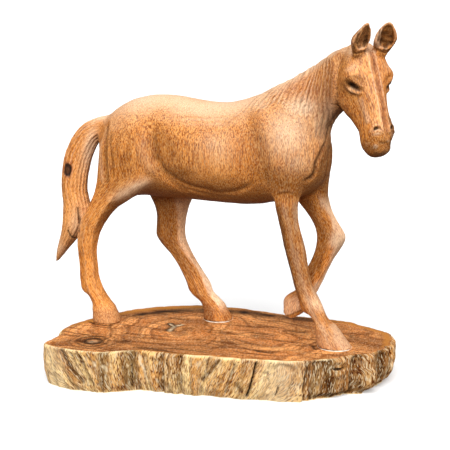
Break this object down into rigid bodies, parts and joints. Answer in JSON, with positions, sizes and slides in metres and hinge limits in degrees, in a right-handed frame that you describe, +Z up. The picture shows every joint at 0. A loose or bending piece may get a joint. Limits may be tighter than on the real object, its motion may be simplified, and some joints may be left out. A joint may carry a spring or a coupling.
{
  "type": "horse sculpture",
  "caption": "Carved wooden horse walking with its head turned to the side, glued on a thick slab of live-edge wood, for a shelf or table.",
  "frame": {"origin": "middle of the bounding box, on the slab's underside", "axes": "+X the way the horse walks, +Z up, -Y the side that its head is turned to"},
  "size_m": [0.3276, 0.172, 0.3216],
  "materials": {
    "carved_wood": "satin, hand carved, with fine tool ticks",
    "slab_wood": "polished top, rough live edge"
  },
  "bodies": {
    "root": {"horse": "carved_wood", "base_slab": "slab_wood"}
  },
  "joints": []
}
